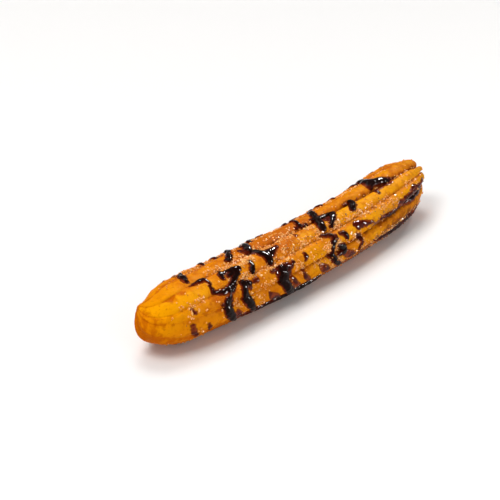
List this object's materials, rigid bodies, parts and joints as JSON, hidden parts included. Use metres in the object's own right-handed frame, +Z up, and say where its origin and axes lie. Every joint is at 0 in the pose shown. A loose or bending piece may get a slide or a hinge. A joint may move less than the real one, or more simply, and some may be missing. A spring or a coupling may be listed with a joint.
{
  "type": "churro",
  "caption": "Ridged stick of fried choux-style dough, gently bowed, with rounded ends, chocolate sauce drizzle and cinnamon sugar, lying on its side.",
  "frame": {"origin": "middle of the underside of the churro's bounding box, on the surface it rests on", "axes": "+X along the stick from its near, thicker end to its far end; +Z up; -Y is the side that it bows towards"},
  "size_m": [0.2164, 0.0376, 0.0324],
  "materials": {
    "fried_dough": "golden yellow to orange fried crust, lightly oiled, browned along the creases",
    "chocolate_sauce": "near-black brown sauce with a wet gloss, red-brown where it is thin",
    "cinnamon_sugar": "small pale sugar crystals tinted peach by cinnamon"
  },
  "bodies": {
    "root": {"churro": "fried_dough"}
  },
  "joints": []
}
